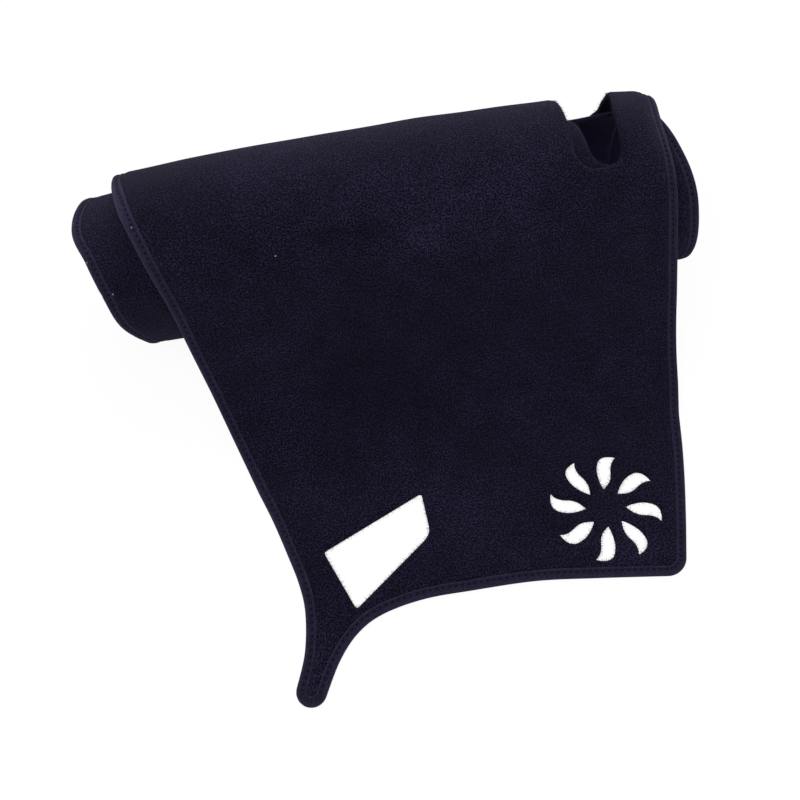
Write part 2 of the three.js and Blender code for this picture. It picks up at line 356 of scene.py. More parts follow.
@dataclass(frozen=True)
class MatCut:
    """The cut outline of the mat and its windows, flat on the table."""

    roll: RollForm = field(default_factory=RollForm)
    tab_tip: Pair = (-123.5, 182.5)
    tab_tip_radius: float = 13
    tab_tip_arc: Pair = (161, 329)
    flap_corner: Pair = (200.5, 126.5)
    flap_corner_radius: float = 18.5
    flap_corner_arc: Pair = (262, 342)
    inner_corner_radius: float = 32
    left_side: tuple[Pair, ...] = (
        (-163, 218), (-178, 151), (-189, 96), (-200, 48), (-211, 3), (-219, -50), (-222, -110),
        (-218, -200), (-213, -300), (-222, -355), (-237, -392), (-244.5, -431), (-253.5, -468),
        (-263.5, -507), (-254, -570), (-236, -640), (-215, -700), (-200, -760), (-195, -800),
    )
    right_side: tuple[Pair, ...] = (
        (263, 247), (268, 193), (267.5, 120), (267, 50), (270, -12), (280, -62), (283, -120),
        (273, -220), (275, -300), (288, -340), (294, -376), (291, -420), (286.5, -457), (277, -505),
        (265, -560), (258, -640), (255, -720), (254, -800),
    )
    left_foot: Pair = (-144, 0)
    tab_left_side: tuple[Pair, ...] = ((-135, 29), (-127, 61), (-120.5, 91), (-119, 117), (-124.5, 150))
    flap_front: tuple[Pair, ...] = (
        (-96, 162), (-77, 142), (-53, 130), (-16, 124), (26, 124.5), (83, 127), (138, 135),
    )
    flap_right_side: tuple[Pair, ...] = ((228.5, 99), (239, 63), (247.5, 30))
    right_foot: Pair = (254, 0)
    vent_corners: tuple[Pair, ...] = ((-75, 122), (-95, 66), (1, 28), (1.5, 68))
    vent_corner_radii: tuple[float, ...] = (3, 3, 3, 9)
    sun_centre: Pair = (161.5, 73.5)
    petal_count: int = 8
    petal_tip_radius: float = 50.5
    petal_root_radius: float = 17
    first_petal: float = 63
    petal_root: Pair = (0, 19)
    petal_back: tuple[Pair, ...] = ((0.22, 25), (0.5, 25.5), (0.7, 23), (0.86, 19.5), (0.96, 14), (1, 7))
    petal_tip: Pair = (1.01, 0)
    petal_belly: tuple[Pair, ...] = (
        (0.9, 3), (0.74, 4.6), (0.6, 4.2), (0.43, 2.6), (0.26, 3.6), (0.12, 9),
    )
    crown_window: tuple[Pair, ...] = (
        (189, -138), (180, 22), (185, 33.5), (196, 38), (208, 38), (218, 34), (223, 24), (226, -20),
        (236, -60), (243, -90), (243, -122), (233, -136),
    )
    inner_window: tuple[Pair, ...] = (
        (202, -68), (202, 4), (206, 15), (216, 21), (234, 21), (242, 14), (244, 4), (244, -68),
    )

    def flat(self, point: Pair, base: float = 0.0) -> Vector:
        """Lay out a point given in millimetres as x and forward distance from a base line."""
        return Vector((point[0] * MM, -(base + point[1] * MM)))

    def on_flap(self, *points: Pair) -> list[Vector]:
        """Lay out points whose forward distance starts at the landing line."""
        return [self.flat(point, self.roll.landing_line()) for point in points]

    def corner_pull(self, y: float) -> float:
        """Work out how far a rounded corner of the inner end pulls a side in."""
        radius = self.inner_corner_radius * MM
        reach = max(radius - (-y - self.roll.inner_end()), 0)
        return radius - math.sqrt(max(radius ** 2 - reach ** 2, 0))

    def side(self, foot: Pair, points: tuple[Pair, ...], inwards: int) -> list[Vector]:
        """Draw one side of the mat from its foot at the landing line to the inner end."""
        line = self.on_flap(foot) + [self.flat(point) for point in points]
        end = -self.roll.inner_end()
        fine = [point for point in spaced(spline(line), 2 * MM) if point.y < end]
        fine.append(Vector((fine[-1].x, end)))
        return [Vector((p.x + inwards * self.corner_pull(p.y), p.y)) for p in fine]

    def outline(self, spacing: float) -> list[Vector]:
        """Draw the whole cut outline, counter-clockwise as seen from above.

        Args:
            spacing: Distance between the points.

        Returns:
            Points of the closed loop, from the left foot round the tab.
        """
        tip = arc(self.on_flap(self.tab_tip)[0], self.tab_tip_radius * MM, self.tab_tip_arc)
        corner = arc(self.on_flap(self.flap_corner)[0], self.flap_corner_radius * MM, self.flap_corner_arc)
        loop = spline(self.on_flap(self.left_foot, *self.tab_left_side) + tip[:1])[:-1]
        loop += tip[:-1]
        loop += spline(tip[-1:] + self.on_flap(*self.flap_front) + corner[:1])[:-1]
        loop += corner[:-1]
        loop += spline(corner[-1:] + self.on_flap(*self.flap_right_side, self.right_foot))[:-1]
        loop += self.side(self.right_foot, self.right_side, -1)
        loop += self.side(self.left_foot, self.left_side, 1)[::-1][:-1]
        return spaced(loop, spacing, closed=True)

    def rounded(self, corners: Sequence[Vector], radii: Sequence[float]) -> list[Vector]:
        """Round the corners of a polygon.

        Args:
            corners: Corners in order.
            radii: How far from each corner its rounding starts.

        Returns:
            Points of the rounded polygon.
        """
        loop = []
        for i, (corner, radius) in enumerate(zip(corners, radii)):
            after = corners[(i + 1) % len(corners)]
            start = corner + (corners[i - 1] - corner).normalized() * radius
            end = corner + (after - corner).normalized() * radius
            for k in range(7):
                t = k / 6
                loop.append(start.lerp(corner, t).lerp(corner.lerp(end, t), t))
        return loop

    def petal(self, turn: float) -> list[Vector]:
        """Draw one petal of the sun.

        Args:
            turn: Angle of its outer tip in degrees.

        Returns:
            Points of its outline.
        """
        centre = self.on_flap(self.sun_centre)[0]
        span = self.petal_tip_radius - self.petal_root_radius

        def polar(point: Pair) -> Vector:
            """Place a point given as share of the span and degrees ahead of the tip."""
            radius = (self.petal_root_radius + span * point[0]) * MM
            angle = math.radians(turn + point[1])
            return centre + Vector((math.cos(angle), math.sin(angle))) * radius

        back = [polar(point) for point in (self.petal_root, *self.petal_back, self.petal_tip)]
        belly = [polar(point) for point in (self.petal_tip, *self.petal_belly, self.petal_root)]
        return spline(back)[:-1] + spline(belly)[:-1]

    def windows(self, spacing: float) -> dict[str, list[Vector]]:
        """Draw the windows.

        Args:
            spacing: Distance between the points.

        Returns:
            The closed loop of each window, by its name.
        """
        loops = {
            "vent": self.rounded(self.on_flap(*self.vent_corners), [r * MM for r in self.vent_corner_radii])
        }
        for i in range(self.petal_count):
            loops[f"petal_{i}"] = self.petal(self.first_petal - 360 * i / self.petal_count)
        crown = [self.flat(point) for point in self.crown_window]
        inner = [self.flat(point, self.roll.second_turn()) for point in self.inner_window]
        loops["crown"] = self.rounded(crown, [4 * MM] * len(crown))
        loops["inner"] = self.rounded(inner, [4 * MM] * len(inner))
        return {name: spaced(loop, spacing, closed=True) for name, loop in loops.items()}


class Nearness:
    """Distance from a flat point to the nearest of a set of loops."""

    def __init__(self, loops: Iterable[Sequence[Vector]]) -> None:
        """Store the points of the loops."""
        points = [point for loop in loops for point in loop]
        self.tree = kdtree.KDTree(len(points))
        for i, point in enumerate(points):
            self.tree.insert(point.to_3d(), i)
        self.tree.balance()

    def __call__(self, point: Vector) -> float:
        """Measure from a point, by its first two numbers."""
        return self.tree.find(Vector((point.x, point.y, 0)))[2]


class Bender:
    """Carries flat points and heights onto the rolled mat in the part's frame."""

    def __init__(self, roll: RollForm, soft: SoftForm) -> None:
        """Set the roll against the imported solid's own box."""
        low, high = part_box("edge_binding")
        self.roll = roll
        self.soft = soft
        self.shift = Vector((low[0] - roll.left_end, high[1] - roll.half_radius(0), 0))

    def bend(self, flat: Vector, height: float) -> Vector:
        """Carry one point onto the rolled mat.

        Args:
            flat: Flat point, by its first two numbers.
            height: Height over the backing.

        Returns:
            The place in the part's frame.
        """
        forward = -flat.y
        y, z, heading = self.roll.place(forward)
        depth = self.roll.thickness - height - self.soft.height(flat.x, forward, self.roll)
        place = Vector((flat.x, y + math.sin(heading) * depth, z - math.cos(heading) * depth))
        place += self.shift + self.soft.droop(flat.x, forward, self.roll)
        place.z = max(place.z, 0.0)
        return place


def link(name: str, mesh: bpy.types.Mesh, materials: Sequence[bpy.types.Material]) -> bpy.types.Object:
    """Make a shown object from a mesh.

    Args:
        name: Name of the piece.
        mesh: Its mesh, in the part's frame.
        materials: Its materials, in slot order.

    Returns:
        The new object.
    """
    piece = bpy.data.objects.new(name, mesh)
    bpy.context.scene.collection.objects.link(piece)
    for material in materials:
        mesh.materials.append(material)
    return piece


def mesh_of(bm: bmesh.types.BMesh, name: str, smooth: bool = True) -> bpy.types.Mesh:
    """Turn a bmesh into a mesh and free it."""
    for face in bm.faces:
        face.smooth = smooth
    mesh = bpy.data.meshes.new(name)
    bm.to_mesh(mesh)
    bm.free()
    return mesh


class NodeTree:
    """Small helper that adds and joins shader nodes of one material."""

    def __init__(self, name: str) -> None:
        """Start a material with only its output."""
        self.material = bpy.data.materials.new(name)
        self.material.use_nodes = True
        self.tree = self.material.node_tree
        self.tree.nodes.clear()
        self.output = self.add("ShaderNodeOutputMaterial")

    def add(self, kind: str, **values: object) -> bpy.types.Node:
        """Add a node.

        Args:
            kind: Type of the node.
            values: Attributes of the node, or default values of its inputs, by name with underscores.

        Returns:
            The new node.
        """
        node = self.tree.nodes.new(kind)
        sockets = {socket.name.replace(" ", "_"): socket for socket in reversed(node.inputs)}
        for name, value in values.items():
            if name in sockets:
                sockets[name].default_value = value
            else:
                setattr(node, name, value)
        return node

    def join(self, start: bpy.types.NodeSocket, end: bpy.types.NodeSocket) -> None:
        """Link an output to an input."""
        self.tree.links.new(start, end)

    def noise(self, vector: bpy.types.NodeSocket, scale: float, detail: float = 2.0) -> bpy.types.NodeSocket:
        """Add a noise texture and give its value."""
        node = self.add("ShaderNodeTexNoise", Scale=scale, Detail=detail)
        self.join(vector, node.inputs["Vector"])
        return node.outputs["Fac"]

    def math(self, kind: str, first: object, second: object) -> bpy.types.NodeSocket:
        """Add a math node whose inputs are sockets or numbers."""
        node = self.add("ShaderNodeMath", operation=kind)
        for socket, value in zip(node.inputs, (first, second)):
            if isinstance(value, bpy.types.NodeSocket):
                self.join(value, socket)
            else:
                socket.default_value = value
        return node.outputs[0]

    def spread(self, value: bpy.types.NodeSocket, low: float, high: float, to: Pair) -> bpy.types.NodeSocket:
        """Map a range of values onto another, held at its ends."""
        node = self.add("ShaderNodeMapRange", From_Min=low, From_Max=high, To_Min=to[0], To_Max=to[1])
        self.join(value, node.inputs["Value"])
        return node.outputs["Result"]

    def blend(
        self, first: Sequence[float], second: Sequence[float], share: bpy.types.NodeSocket,
    ) -> bpy.types.NodeSocket:
        """Blend two colours by a share that varies over the surface."""
        node = self.add("ShaderNodeValToRGB")
        node.color_ramp.elements[0].color = first
        node.color_ramp.elements[1].color = second
        self.join(share, node.inputs["Fac"])
        return node.outputs["Color"]

    def shade(self, colour: object, factor: bpy.types.NodeSocket) -> bpy.types.NodeSocket:
        """Scale a colour, a socket or three numbers, by a factor that varies over the surface."""
        node = self.add("ShaderNodeVectorMath", operation="SCALE")
        if isinstance(colour, bpy.types.NodeSocket):
            self.join(colour, node.inputs[0])
        else:
            node.inputs[0].default_value = colour
        self.join(factor, node.inputs["Scale"])
        return node.outputs[0]

    def uv(self, name: str) -> bpy.types.NodeSocket:
        """Read a piece's own map, whose units are metres."""
        return self.add("ShaderNodeUVMap", uv_map=name).outputs["UV"]

    def attribute(self, name: str) -> bpy.types.NodeSocket:
        """Read a factor that a piece's own points hold."""
        return self.add("ShaderNodeAttribute", attribute_name=name).outputs["Fac"]

    def bump(self, height: bpy.types.NodeSocket, strength: float, depth: float) -> bpy.types.NodeSocket:
        """Turn a height into a normal with relief."""
        node = self.add("ShaderNodeBump", Strength=strength, Distance=depth)
        self.join(height, node.inputs["Height"])
        return node.outputs["Normal"]

    def cover(
        self, colour: bpy.types.NodeSocket, normal: bpy.types.NodeSocket | None = None, **values: object,
    ) -> bpy.types.Material:
        """Finish the material with its surface shader.

        Args:
            colour: Its base colour.
            normal: Its normal, where it has relief.
            values: Default values of the shader's inputs, by name with underscores.

        Returns:
            The material.
        """
        shader = self.add("ShaderNodeBsdfPrincipled", **values)
        self.join(colour, shader.inputs["Base Color"])
        if normal is not None:
            self.join(normal, shader.inputs["Normal"])
        self.join(shader.outputs["BSDF"], self.output.inputs["Surface"])
        return self.material


@dataclass(frozen=True)
class Velour:
    """Cut pile: navy between the tufts and lavender at their tips, with cloudy shading and a soft sheen."""

    root: tuple[float, float, float, float] = (0.0016, 0.0010, 0.0052, 1)
    tip: tuple[float, float, float, float] = (0.0205, 0.0180, 0.0420, 1)
    sheen: float = 0.10
    sheen_roughness: float = 0.38
    sheen_tint: tuple[float, float, float, float] = (0.60, 0.54, 0.92, 1)
    tuft_scale: float = 660
    fine_ratio: float = 2.3
    clump_ratio: float = 3.4
    cloud_scale: float = 42
    drift_scale: float = 11
    tuft_depth: float = 1.5 * MM

    def build(self) -> bpy.types.Material:
        """Build the material."""
        nodes = NodeTree("velour_pile")
        uv = nodes.uv("flat")
        tuft = nodes.noise(uv, self.tuft_scale, 3)
        fine = nodes.noise(uv, self.tuft_scale * self.fine_ratio, 2)
        speckle = nodes.spread(tuft, 0.43, 0.66, (0, 1))
        sparkle = nodes.spread(fine, 0.36, 0.66, (0.3, 1.7))
        tufts = nodes.blend(self.root, self.tip, nodes.math("MULTIPLY", speckle, sparkle))
        patches = (
            nodes.spread(nodes.noise(uv, self.tuft_scale / self.clump_ratio, 2), 0.3, 0.7, (0.78, 1.24)),
            nodes.spread(nodes.noise(uv, self.cloud_scale, 3), 0.3, 0.7, (0.84, 1.2)),
            nodes.spread(nodes.noise(uv, self.drift_scale, 2), 0.35, 0.65, (0.88, 1.14)),
        )
        # Factor held by the carpet's points: patches of pile, painted highlights on the bump and pucker, and
        # painted shade.
        factor = nodes.attribute("pile_patch_and_painted_light")
        for patch in patches:
            factor = nodes.math("MULTIPLY", factor, patch)
        relief = nodes.math("ADD", tuft, nodes.math("MULTIPLY", fine, 0.5))
        return nodes.cover(
            nodes.shade(tufts, factor), nodes.bump(relief, 1.0, self.tuft_depth), Roughness=1.0,
            Specular_IOR_Level=0.08, Sheen_Weight=self.sheen, Sheen_Roughness=self.sheen_roughness,
            Sheen_Tint=self.sheen_tint,
        )


@dataclass(frozen=True)
class Backing:
    """Felted back of the carpet, flat and smoother than the pile."""

    colour: tuple[float, float, float] = (0.0098, 0.0080, 0.0245)
    fibre_scale: float = 1400
    patch_scale: float = 160
    felt_depth: float = 0.3 * MM

    def build(self) -> bpy.types.Material:
        """Build the material."""
        nodes = NodeTree("felt_backing")
        uv = nodes.uv("flat")
        fibre = nodes.noise(uv, self.fibre_scale, 4)
        patch = nodes.noise(uv, self.patch_scale, 2)
        factor = nodes.math(
            "MULTIPLY", nodes.spread(fibre, 0.3, 0.7, (0.7, 1.35)),
            nodes.spread(patch, 0.3, 0.7, (0.85, 1.15)),
        )
        return nodes.cover(
            nodes.shade(self.colour, factor), nodes.bump(fibre, 0.5, self.felt_depth), Roughness=0.95,
            Specular_IOR_Level=0.08,
        )


@dataclass(frozen=True)
class TapeWeave:
    """Woven binding tape: fine cross ribs over lengthwise yarns, a shade lighter than the pile."""

    colour: tuple[float, float, float] = (0.0165, 0.0142, 0.0350)
    rib: float = 1.1 * MM
    weave_depth: float = 0.6 * MM
    fleck_scale: float = 700
    patch_scale: float = 90
    sheen_tint: tuple[float, float, float, float] = (0.58, 0.52, 0.95, 1)

    def build(self) -> bpy.types.Material:
        """Build the material."""
        nodes = NodeTree("binding_tape")
        uv = nodes.uv("along")
        ribs = nodes.add("ShaderNodeTexWave", wave_type="BANDS", bands_direction="X",
                         Scale=1 / self.rib / 3.18, Distortion=1.2, Detail=2, Detail_Scale=2)
        yarns = nodes.add("ShaderNodeTexWave", wave_type="BANDS", bands_direction="Y",
                          Scale=1 / self.rib / 4.2, Distortion=0.8, Detail=1)
        for wave in (ribs, yarns):
            nodes.join(uv, wave.inputs["Vector"])
        yarn = nodes.spread(yarns.outputs["Fac"], 0, 1, (0.6, 1))
        weave = nodes.math("MULTIPLY", ribs.outputs["Fac"], yarn)
        fleck = nodes.noise(uv, self.fleck_scale, 3)
        patch = nodes.noise(uv, self.patch_scale, 2)
        # The points' factor adds painted shade on the seam row, at the needle holes and under the tape, and
        # painted highlights on its rims.
        tones = (
            nodes.spread(fleck, 0.35, 0.67, (0.5, 1.6)),
            nodes.spread(patch, 0.3, 0.7, (0.85, 1.2)),
            nodes.attribute("painted_seam_shade_and_rims"),
        )
        factor = nodes.spread(weave, 0, 1, (0.45, 1.5))
        for tone in tones:
            factor = nodes.math("MULTIPLY", factor, tone)
        return nodes.cover(
            nodes.shade(self.colour, factor), nodes.bump(weave, 0.9, self.weave_depth), Roughness=0.9,
            Specular_IOR_Level=0.12, Sheen_Weight=0.15, Sheen_Roughness=0.35, Sheen_Tint=self.sheen_tint,
        )


@dataclass(frozen=True)
class Fibre:
    """Loose yarn: the raw edges' fibres, the sewing thread and the lint."""

    name: str
    colour: tuple[float, float, float]
    roughness: float = 0.8

    def build(self) -> bpy.types.Material:
        """Build the material."""
        nodes = NodeTree(self.name)
        place = nodes.add("ShaderNodeTexCoord").outputs["Object"]
        tone = nodes.spread(nodes.noise(place, 700, 2), 0.3, 0.7, (0.6, 1.5))
        return nodes.cover(nodes.shade(self.colour, tone), Roughness=self.roughness, Specular_IOR_Level=0.3)


@dataclass
class CarpetSheet:
    """The one piece of velour carpet, with its windows cut.

    Each lighter or darker place is given as x and forward distance, its reach along both, all in
    millimetres, and its change of tone. The spots on the bump and the pucker are painted highlights, and the
    arc beside the bump, the crown's left end and the lower left of the second turn get painted shade; the
    rest are patches of pile.
    """

    cut: MatCut
    bender: Bender
    grid: float = 3.6 * MM
    hem: float = 3.0 * MM
    tape_width: float = 9 * MM
    pressed: float = 1.7 * MM
    raw_drop: float = 1.1 * MM
    raw_reach: float = 2.5 * MM
    # Pile patches, painted highlights and painted shade: x, forward, reach across, reach along, change of
    # tone.
    pile_patches_and_painted_light: tuple[tuple[float, ...], ...] = (
        (38, 76, 20, 11, 0.75), (95, 60, 60, 30, 0.3), (-30, 58, 50, 8, -0.35), (0, 20, 140, 30, 0.15),
        (-12, 194, 70, 50, -0.18), (-100, -5, 40, 20, 0.25), (190, 408, 40, 18, 0.5), (30, 330, 60, 35, 0.2),
        (-123, 440, 20, 50, 0.35), (-156, 90, 8, 5, 0.6), (165, 395, 30, 28, 0.35),
        (-200, -70, 60, 60, -0.55), (-235, -345, 45, 55, -0.45),
    )

    def prism(self, loops: Iterable[Sequence[Vector]], name: str) -> bpy.types.Object:
        """Make a cutter that stands upright on loops.

        Args:
            loops: Flat closed loops.
            name: Name of the cutter.

        Returns:
            The cutter's object.
        """
        bm = bmesh.new()
        for loop in loops:
            face = bm.faces.new([bm.verts.new((p.x, p.y, -10 * MM)) for p in loop])
            grown = bmesh.ops.extrude_face_region(bm, geom=[face])
            tops = [item for item in grown["geom"] if isinstance(item, bmesh.types.BMVert)]
            bmesh.ops.translate(bm, verts=tops, vec=(0, 0, 20 * MM))
        bmesh.ops.recalc_face_normals(bm, faces=bm.faces)
        return link(name, mesh_of(bm, name), [])

    def slab(self) -> bpy.types.Object:
        """Make the flat slab of carpet from which the mat is cut."""
        outline = self.cut.outline(self.grid)
        low = Vector((min(p.x for p in outline), min(p.y for p in outline)))
        high = Vector((max(p.x for p in outline), max(p.y for p in outline)))
        size = high - low + Vector((self.grid, self.grid))
        middle = (high + low) / 2
        bm = bmesh.new()
        bmesh.ops.create_grid(
            bm, x_segments=round(size.x / self.grid), y_segments=round(size.y / self.grid), size=0.5,
            matrix=Matrix.Translation(middle.to_3d()) @ Matrix.Diagonal((size.x, size.y, 1, 1)),
        )
        grown = bmesh.ops.extrude_face_region(bm, geom=bm.faces[:])
        tops = [item for item in grown["geom"] if isinstance(item, bmesh.types.BMVert)]
        bmesh.ops.translate(bm, verts=tops, vec=(0, 0, self.bender.roll.thickness))
        bmesh.ops.recalc_face_normals(bm, faces=bm.faces)
        return link("carpet_slab", mesh_of(bm, "carpet_slab"), [])

    def cut_out(self) -> bmesh.types.BMesh:
        """Cut the outline and the windows out of the slab.

        Returns:
            The flat cut carpet.
        """
        slab = self.slab()
        centre = self.cut.outline(self.grid)
        hem_loop = inset(centre, self.hem)
        cutters = {
            "INTERSECT": self.prism([hem_loop], "outline_cutter"),
            "DIFFERENCE": self.prism(self.cut.windows(2.2 * MM).values(), "window_cutter"),
        }
        for operation, cutter in cutters.items():
            modifier = slab.modifiers.new(operation, "BOOLEAN")
            modifier.operation = operation
            modifier.solver = "EXACT"
            modifier.object = cutter
        shape = slab.evaluated_get(bpy.context.evaluated_depsgraph_get())
        bm = bmesh.new()
        bm.from_mesh(shape.to_mesh())
        shape.to_mesh_clear()
        for item in (slab, *cutters.values()):
            bpy.data.objects.remove(item)
        return bm

    def top(self, point: Vector, edge: float, raw: float) -> float:
        """Work out the height of the pile over the backing.

        Args:
            point: Flat point. Not used.
            edge: Distance to the bound edge.
            raw: Distance to the nearest raw edge of a window.

        Returns:
            The height.
        """
        full = self.bender.roll.thickness
        squeeze = self.pressed * smoothstep(self.tape_width + 3 * MM, self.tape_width - 1.5 * MM, edge)
        fall = self.raw_drop * (1 - smoothstep(0, self.raw_reach, raw)) if raw < self.raw_reach else 0.0
        return full - squeeze - fall

    def patch_and_painted_light_factor(self, point: Vector) -> float:
        """Work out how light the pile looks at its patches, with the painted highlights and the painted
        shade.

        Args:
            point: Flat point.

        Returns:
            A factor on the pile's colour, about 1.
        """
        factor = 1.0
        for x, forward, reach_x, reach_y, change in self.pile_patches_and_painted_light:
            across = (point.x - x * MM) / (reach_x * MM)
            along = (-point.y - forward * MM) / (reach_y * MM)
            factor += change * math.exp(-across * across - along * along)
        return factor

    def build(self, materials: Sequence[bpy.types.Material]) -> bpy.types.Object:
        """Build the rolled carpet.

        Args:
            materials: Materials of the pile and of the backing.

        Returns:
            The piece.
        """
        bm = self.cut_out()
        bmesh.ops.triangulate(bm, faces=[face for face in bm.faces if len(face.verts) > 4])
        edge_at = Nearness([self.cut.outline(1.5 * MM)])
        raw_at = Nearness(self.cut.windows(0.8 * MM).values())
        layer = bm.loops.layers.uv.new("flat")
        pile_patch_and_painted_light = bm.verts.layers.float.new("pile_patch_and_painted_light")
        middle = self.bender.roll.thickness / 2
        for face in bm.faces:
            pile = face.normal.z > 0.5 or face.calc_center_median().z > middle and face.normal.z > -0.5
            face.material_index = (Face.PILE if pile else Face.BACKING).value
            for loop in face.loops:
                loop[layer].uv = loop.vert.co.xy
        for vert in bm.verts:
            height = vert.co.z
            if height > middle:
                height = self.top(vert.co, edge_at(vert.co), raw_at(vert.co))
            # Each point keeps its tone of pile patches with painted highlights and painted shade.
            vert[pile_patch_and_painted_light] = self.patch_and_painted_light_factor(vert.co)
            vert.co = self.bender.bend(vert.co, height)
        bmesh.ops.recalc_face_normals(bm, faces=bm.faces)
        return link("velour_carpet", mesh_of(bm, "velour_carpet"), materials)


def inset(loop: Sequence[Vector], distance: float) -> list[Vector]:
    """Move a counter-clockwise loop inwards, point by point."""
    result = []
    for i, point in enumerate(loop):
        along = (loop[(i + 1) % len(loop)] - loop[i - 1]).normalized()
        result.append(Vector((point.x - along.y * distance, point.y + along.x * distance)))
    return result


@dataclass
class EdgeBinding:
    """Woven tape folded over the whole edge and stitched down through both legs.

    A rim is a lighter band of painted highlight along a rounded edge of the tape, given as its strength, its
    place across the tape and its reach.
    """

    cut: MatCut
    bender: Bender
    step: float = 1.4 * MM
    width: float = 9 * MM
    tape: float = 0.8 * MM
    seam: float = 5.6 * MM
    stitch: float = 5.6 * MM
    seam_sink: float = 0.8 * MM
    pit_sink: float = 1.4 * MM
    plump: float = 0.6 * MM
    seam_reach: float = 1.15 * MM
    # Painted shade on the tape's under and inner faces.
    under_shade: float = 0.28
    seam_shade: float = 0.15
    pit_shade: float = 0.65
    inner_rim_highlight: tuple[float, float, float] = (0.45, -0.4 * MM, 1.2 * MM)
    outer_rim_highlight: tuple[float, float, float] = (0.35, 1.2 * MM, 1.6 * MM)

    def leg_height(self, distance: float, run: float) -> float:
        """Work out the height of the tape's upper leg over the backing.

        Args:
            distance: Distance in from the mat's edge.
            run: Distance along the edge.

        Returns:
            The height of its outer face.
        """
        full = self.bender.roll.thickness
        puff = self.plump * math.sin(math.pi * min(distance / self.seam, 1.0))
        puff += 0.25 * MM * noise.noise(Vector((run / (14 * MM), distance / (6 * MM), 0)))
        sink = (self.seam_sink + self.pit_sink * self.pit(run)) * hump(self.seam, self.seam_reach, distance)
        return full + puff - sink

    def pit(self, run: float) -> float:
        """Read how near a place along the edge is to a needle hole, from 0 to 1."""
        return (0.5 + 0.5 * math.cos(2 * math.pi * run / self.stitch)) ** 2

    def painted_seam_shade_and_rims(self, distance: float, run: float) -> float:
        """Work out the tape's painted shade on the seam row and at the needle holes, where the thread pulls
        it in, and its painted highlights on the rims.

        Args:
            distance: Distance in from the mat's edge.
            run: Distance along the edge.

        Returns:
            A factor on the tape's colour.
        """
        row = hump(self.seam, 1.1 * MM, distance)
        inner, shift, inner_reach = self.inner_rim_highlight
        outer, place, outer_reach = self.outer_rim_highlight
        rim = inner * hump(self.width + shift, inner_reach, distance)
        rim += outer * hump(place, outer_reach, distance)
        return (1 - row * (self.seam_shade + self.pit_shade * self.pit(run))) * (1 + rim)

    def section(self, run: float) -> list[Pair]:
        """List the tape's section at a place along the edge.

        Args:
            run: Distance along the edge.

        Returns:
            Pairs of distance in from the edge and height over the backing, round the section.
        """
        wander = 0.45 * MM * noise.noise(Vector((run / (22 * MM), 4.7, 0)))
        full = self.bender.roll.thickness
        legs = [self.width + wander, self.width - 0.7 * MM, self.seam + 1.6 * MM, self.seam + 0.8 * MM,
                self.seam, self.seam - 0.8 * MM, self.seam - 1.7 * MM, 2.6 * MM, 1.3 * MM]
        upper = [(d, self.leg_height(d, run)) for d in legs]
        upper[0] = (legs[0], full - 0.75 * MM)
        upper[1] = (legs[1], full - 0.1 * MM)
        nose = [(0.45 * MM, full * 0.86), (0.05 * MM, full * 0.6), (0.05 * MM, full * 0.36),
                (0.5 * MM, full * 0.12)]
        lower = [(1.5 * MM, 0.0), (self.width + wander, 0.0), (self.width + wander, self.tape)]
        inner = [(self.tape + 0.8 * MM, self.tape), (self.tape + 0.2 * MM, full * 0.5),
                 (self.tape + 0.8 * MM, full - 1.1 * MM), (self.seam, full - 2.4 * MM),
                 (self.width + wander, full - 1.6 * MM)]
        return upper + nose + lower + inner

    def build(self, material: bpy.types.Material) -> bpy.types.Object:
        """Build the tape.

        Args:
            material: Its finish.

        Returns:
            The piece.
        """
        loop = self.cut.outline(self.step)
        sections = [self.section(i * self.step) for i in range(len(loop))]
        count = len(sections[0])
        rings = []
        for k in range(count):
            moved = [inset_point(loop, i, sections[i][k][0]) for i in range(len(loop))]
            rings.append([self.bender.bend(p, sections[i][k][1]) for i, p in enumerate(moved)])
        bm = bmesh.new()
        verts = [bm.verts.new(place) for place in rings[0]]
        edges = [bm.edges.new((verts[i - 1], verts[i])) for i in range(len(verts))]
        first_ring = list(edges)
        for ring in rings[1:]:
            grown = bmesh.ops.extrude_edge_only(bm, edges=edges)["geom"]
            edges = [item for item in grown if isinstance(item, bmesh.types.BMEdge)]
            verts = self.follow(verts, grown)
            for vert, place in zip(verts, ring):
                vert.co = place
        bmesh.ops.bridge_loops(bm, edges=first_ring + edges)
        bmesh.ops.recalc_face_normals(bm, faces=bm.faces)
        self.map(bm, len(loop), count)
        shade = bm.verts.layers.float.new("painted_seam_shade_and_rims")
        # Outer faces take painted shade on the seam and painted highlights on the rims; under and inner
        # faces take even painted shade.
        for vert in bm.verts:
            turn, run = divmod(vert.index, len(loop))
            outer = sections[run][turn][1] > self.bender.roll.thickness / 2
            vert[shade] = self.painted_seam_shade_and_rims(sections[run][turn][0], run * self.step) if outer else self.under_shade
        return link("binding_tape", mesh_of(bm, "binding_tape"), [material])

    def follow(self, verts: list, grown: list) -> list:
        """Find the new vertex over each old one after an edge extrusion."""
        fresh = {item for item in grown if isinstance(item, bmesh.types.BMVert)}
        result = []
        for vert in verts:
            ends = (edge.other_vert(vert) for edge in vert.link_edges)
            result.append(next(end for end in ends if end in fresh))
        return result

    def map(self, bm: bmesh.types.BMesh, around: int, count: int) -> None:
        """Map the tape in metres along and across it.

        Args:
            bm: The tape, whose vertices come ring after ring.
            around: Vertices in a ring along the edge.
            count: Rings round the section.
        """
        layer = bm.loops.layers.uv.new("along")
        bm.verts.index_update()
        for face in bm.faces:
            runs = [loop.vert.index % around for loop in face.loops]
            turns = [loop.vert.index // around for loop in face.loops]
            for loop, run, turn in zip(face.loops, runs, turns):
                run += around if max(runs) - run > around / 2 else 0
                turn += count if max(turns) - turn > count / 2 else 0
                loop[layer].uv = (run * self.step, turn * self.step)


def inset_point(loop: Sequence[Vector], i: int, distance: float) -> Vector:
    """Move one point of a counter-clockwise loop inwards.

    The first point looks one step further back, past the join of the loop.
    """
    along = (loop[(i + 1) % len(loop)] - loop[i - 2 if i == 0 else i - 1]).normalized()
    return Vector((loop[i].x - along.y * distance, loop[i].y + along.x * distance))


